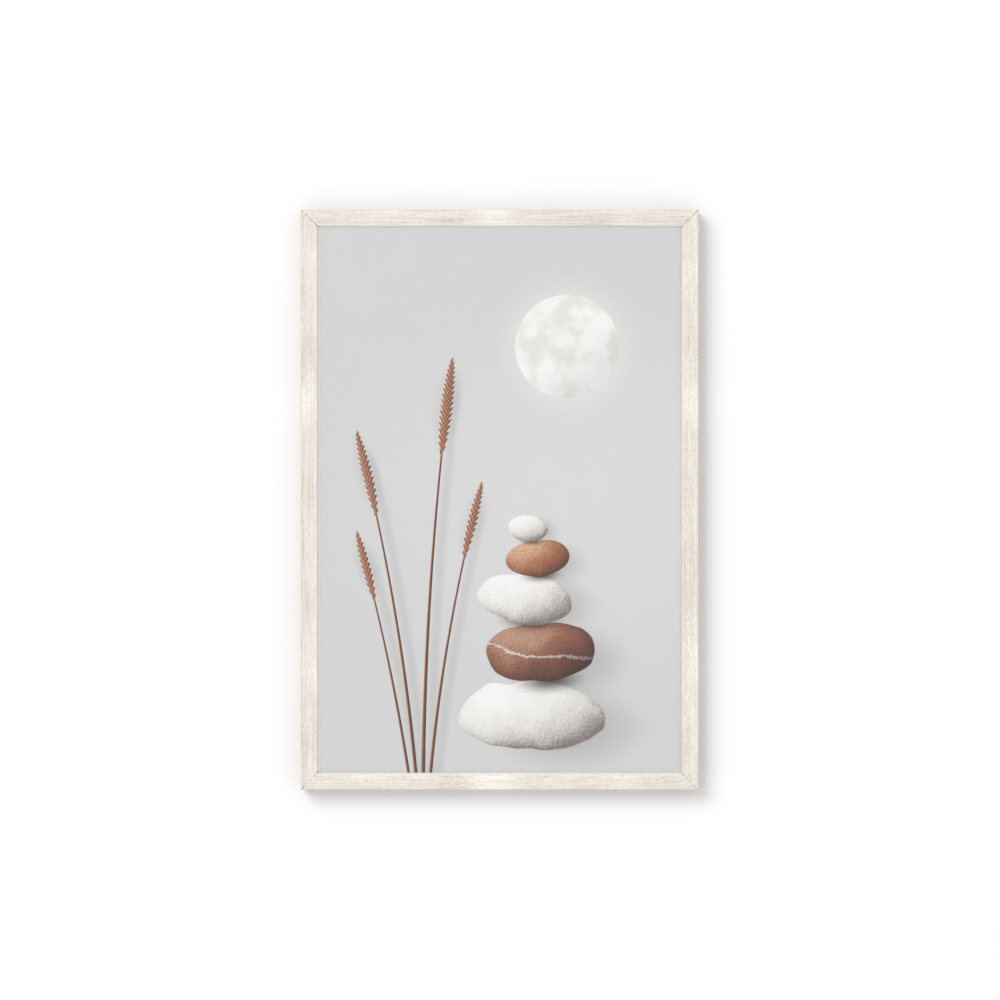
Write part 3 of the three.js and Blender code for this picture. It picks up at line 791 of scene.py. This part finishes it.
# Cast polyurethane: a soft, cloudy, colourless rubber with dust on its tacky skin.
def bumperMaterial():
    material, tree = newMaterial("cast clear polyurethane")
    place = placeInMm(tree)
    cloud = addNode(tree, "TexNoise", [place, 1 / 2.5, 3])
    dust = addNode(tree, "TexNoise", [place, 1 / 0.35, 1])
    colour = addNode(tree, "ValToRGB", [cloud], stops=[(0.35, "#CBC7BB"), (0.65, "#DEDBD1")])
    rough = addNode(tree, "MapRange", [dust, 0.4, 0.7, 0.22, 0.5])
    addNode(tree, "OutputMaterial", [addNode(tree, "BsdfPrincipled", {
        "Base Color": colour, "Roughness": rough, "IOR": 1.5, "Subsurface Weight": 0.5,
        "Subsurface Radius": (1, 1, 0.8), "Subsurface Scale": 2 * mm})])
    return material


# Sheet metal from its middle surface: gauge and rounded edges come from modifiers.
def sheetMetal(name, verts, faces, gauge, edge):
    piece = meshPiece(name, verts, faces)
    thick = piece.modifiers.new("gauge", "SOLIDIFY")
    thick.thickness = gauge * mm
    thick.offset = 0
    eased = piece.modifiers.new("edge", "BEVEL")
    eased.width = edge * mm
    eased.segments = 2
    eased.limit_method = "ANGLE"
    eased.angle_limit = math.radians(40)
    piece.modifiers.new("shading", "WEIGHTED_NORMAL")
    return piece


# A stamped blank with one row of holes. At each station x it runs from edges(x)[0] to edges(x)[1],
# holeHalf(x) is half the height of a hole there, and fold(x) is how high the metal stands.
def stampedBlank(stations, edges, holeHalf, holeMiddle, fold, place):
    verts, faces, columns = [], [], []
    for x in stations:
        low, high = edges(x)
        half = holeHalf(x)
        rows = [holeMiddle - half, holeMiddle + half] if half > 1e-6 else [holeMiddle]
        first = len(verts)
        verts += [place(x, row, fold(x)) for row in [low, *rows, high]]
        last = len(verts) - 1
        columns.append((first, first + 1, last - 1, last))
    for a, b in zip(columns, columns[1:]):
        faces += [(a[0], b[0], b[1], a[1]), (a[2], b[2], b[3], a[3])]
    return verts, faces


def ringStations(centre, radius, steps=8):
    return [centre - radius * math.cos(math.pi * i / steps) for i in range(steps + 1)]


def inOrder(stations):  # without those that all but coincide with the one before
    stations = sorted(stations)
    return [x for i, x in enumerate(stations) if i == 0 or x - stations[i - 1] > 0.03]


def inHole(centres, radius):
    def half(x):
        near = min(abs(x - centre) for centre in centres)
        return math.sqrt(radius ** 2 - near ** 2) if near < radius - 1e-6 else 0
    return half


def softFold(line, reach):  # the folded line with its corners rounded over this reach
    def at(x):
        for (x0, y0), (x1, y1) in zip(line, line[1:]):
            if x <= x1:
                return y0 + (y1 - y0) * (max(x, x0) - x0) / (x1 - x0)
        return line[-1][1]
    return lambda x: sum(at(x + reach * k / 4) for k in range(-4, 5)) / 9


# Flexible points: pressed into the rebate's wall, bent down on to the board, the tip turned up. Each
# leans by up to so many degrees and its tip is lifted a little, as fingers leave it.
point = {"width": 7, "gauge": 0.6, "edge": 0.12, "buried": 3, "reach": 14,
         "holeRadius": 1.1, "holeFromTip": 4.1, "station": 0.45,
         "fold": [(-5, 1.5), (1.4, 1.5), (9.6, 0.46), (14, 1.5)], "foldReach": 1.1,
         "lean": 1.6, "tipLift": 0.5}


def makePoints(steel):
    p = point
    half, shank = p["width"] / 2, p["reach"] - p["width"] / 2
    hole = p["reach"] - p["holeFromTip"]
    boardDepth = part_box("backing_board")[1][1] / mm - frontY
    rebate = moulding["face"] - moulding["lip"]

    def edges(x):
        past = x - shank
        wide = math.sqrt(half ** 2 - past ** 2) if past > 0 else half
        return -max(wide, 0.35), max(wide, 0.35)

    stations = inOrder([round(-p["buried"] + p["station"] * i, 3) for i in range(24)]
                       + ringStations(hole, p["holeRadius"])
                       + [p["reach"] - half * (1 - math.sin(math.pi / 2 * i / 9)) for i in range(10)])
    for name in sorted(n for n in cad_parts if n.startswith("point_")):
        side = name.split("_")[1]
        low, high = boxInMm(name)
        along = (railPlace(side).inverted() @ ((low + high) / 2 * mm)).x / mm
        lean = math.radians(handSeed.uniform(-p["lean"], p["lean"]))
        lift = handSeed.uniform(0, p["tipLift"])
        tip, height = p["fold"][-1]
        line = p["fold"][:-1] + [(tip, height + lift)]

        def place(x, across, height):
            return (along - across * math.cos(lean) + x * math.sin(lean), boardDepth + height, rebate + x)

        verts, faces = stampedBlank(stations, edges, inHole([hole], p["holeRadius"]), 0,
                                    softFold(line, p["foldReach"]), place)
        piece = sheetMetal("flex_" + name, verts, faces, p["gauge"], p["edge"])
        piece.matrix_world = railPlace(side)
        bodyPiece(piece, steel, [name])


# Sawtooth hanger: a toothed plate with a raised bridge that leaves room for the wall nail's head.
hanger = {"length": 46, "gauge": 1, "edge": 0.16, "corner": 2,
          "toothPitch": 2.6, "toothDepth": 1.8, "notches": 5, "station": 0.5,
          "bridgeHalf": 15, "ramp": 2.5, "foldReach": 0.8, "holeAt": 20.4, "holeRadius": 1.1}


def makeHanger(steel):
    h = hanger
    low, high = boxInMm("sawtooth_hanger")
    half, corner, bridge = h["length"] / 2, h["corner"], h["bridgeHalf"]
    toothed = (h["notches"] + 0.5) * h["toothPitch"]
    woodTop, wallSide = low.y + h["gauge"] / 2, high.y - h["gauge"] / 2
    line = [(-half, woodTop), (-bridge - h["ramp"], woodTop), (-bridge, wallSide),
            (bridge, wallSide), (bridge + h["ramp"], woodTop), (half, woodTop)]

    def edges(x):
        fromEnd = half - abs(x)
        rounding = 0
        if fromEnd < corner:
            rounding = corner - math.sqrt(corner ** 2 - (corner - fromEnd) ** 2)
        tooth = 0
        if abs(x) < toothed:
            phase = abs((x / h["toothPitch"] + 0.5) % 1 - 0.5)
            tooth = h["toothDepth"] * (1 - 2 * phase)
        return low.z + max(rounding, tooth), high.z - rounding

    stations = [i * h["toothPitch"] / 2 for i in range(-2 * h["notches"] - 1, 2 * h["notches"] + 2)]
    for side in (-1, 1):
        stations += [side * (toothed + h["station"] * i) for i in range(1, 10)]
        stations += ringStations(side * h["holeAt"], h["holeRadius"])
        stations += [side * (half - corner * (1 - math.cos(math.pi / 2 * i / 6))) for i in range(7)]
    holes = inHole([-h["holeAt"], h["holeAt"]], h["holeRadius"])
    verts, faces = stampedBlank(inOrder(stations), edges, holes, (low.z + high.z) / 2,
                                softFold(line, h["foldReach"]), lambda x, row, height: (x, height, row))
    plate = sheetMetal("sawtooth_plate", verts, faces, h["gauge"], h["edge"])
    bodyPiece(plate, steel, ["sawtooth_hanger"])


# A turned piece about an axis along y. The profile is (radius, y) pairs from one end to the other.
def turnedPiece(name, profile, facets, x, z):
    verts = []
    for radius, y in profile:
        for i in range(facets):
            turn = 2 * math.pi * i / facets
            verts.append((x + radius * math.cos(turn), y, z + radius * math.sin(turn)))
    piece = meshPiece(name, verts, tubeFaces(len(profile), facets))
    piece.data.set_sharp_from_angle(angle=math.radians(45))
    return piece


brad = {"radius": 0.8, "headRadius": 2.2, "headHeight": 0.9, "rim": 0.15, "shank": 6, "facets": 36}
bumper = {"radius": 4.75, "taper": 0.12, "ease": 0.8, "facets": 48}


def makeTurnedParts(steel, rubber):
    for name in ("hanger_brad_1", "hanger_brad_2"):
        low, high = boxInMm(name)
        centre, head, rim = (low + high) / 2, brad["headRadius"], brad["rim"]
        seat = high.y - brad["headHeight"]
        profile = [(brad["radius"], seat - brad["shank"]), (brad["radius"], seat),
                   (head - 0.05, seat), (head, seat + rim / 2)]
        dome = brad["headHeight"] - rim
        profile += [(head * r, seat + rim + dome * y) for r, y in arcPoints((0, 0), 1, 0, 90, 9)[:-1]]
        profile.append((0.05, high.y))
        piece = turnedPiece("turned_" + name, profile, brad["facets"], centre.x, centre.z)
        bodyPiece(piece, steel, [name])
    for name in ("bumper_left", "bumper_right"):
        low, high = boxInMm(name)
        centre, ease, top = (low + high) / 2, bumper["ease"], bumper["radius"] - bumper["taper"]
        profile = [(bumper["radius"], low.y)]
        profile += arcPoints((top - ease, high.y - ease), ease, 0, 90, 7)
        piece = turnedPiece("cast_" + name, profile, bumper["facets"], centre.x, centre.z)
        bodyPiece(piece, rubber, [name])


# V-nails: a folded strip across each mitre, driven in from the back until it is almost flush.
vNail = {"halfSpan": 4.2, "rise": 3, "foot": 0.8, "gauge": 0.6, "edge": 0.1, "length": 8,
         "proud": 0.12, "insets": (6, 10.2), "crease": 0.7}


def makeVNails(steel):
    v = vNail
    half, foot, rise = v["halfSpan"], v["halfSpan"] + v["foot"], v["rise"] / 2
    line = [(-foot, -rise), (-half, -rise), (0, rise), (half, -rise), (foot, -rise)]
    bend = softFold(line, v["crease"] / 2)
    steps = [foot * i / 24 for i in range(-24, 25)]
    count = len(steps)
    faces = [(i, i + 1, i + 1 + count, i + count) for i in range(count - 1)]
    backOfWood = frontY + moulding["depth"]
    for signX, signZ in ((-1, 1), (1, 1), (-1, -1), (1, -1)):
        corner = ("top_" if signZ > 0 else "bottom_") + ("left" if signX < 0 else "right")
        toward = Vector((-signX, 0, -signZ)).normalized()
        across = toward.cross(Vector((0, -1, 0)))
        for number, inset in enumerate(v["insets"], 1):
            root = middle + Vector((
                signX * (outerWidth / 2 - inset), 0, signZ * (outerHeight / 2 - inset)))
            verts = []
            for y in (backOfWood + v["proud"], backOfWood - v["length"]):
                verts += [root + across * x + toward * bend(x) + Vector((0, y, 0)) for x in steps]
            name = f"v_nail_{corner}_{number}"
            piece = sheetMetal("folded_" + name, verts, faces, v["gauge"], v["edge"])
            bodyPiece(piece, steel, [name])


def makeHardware():
    steel = zincMaterial()
    makePoints(steel)
    makeHanger(steel)
    makeTurnedParts(steel, bumperMaterial())
    makeVNails(steel)


makeHardware()
print("points, hanger, V-nails and bumpers are in place")
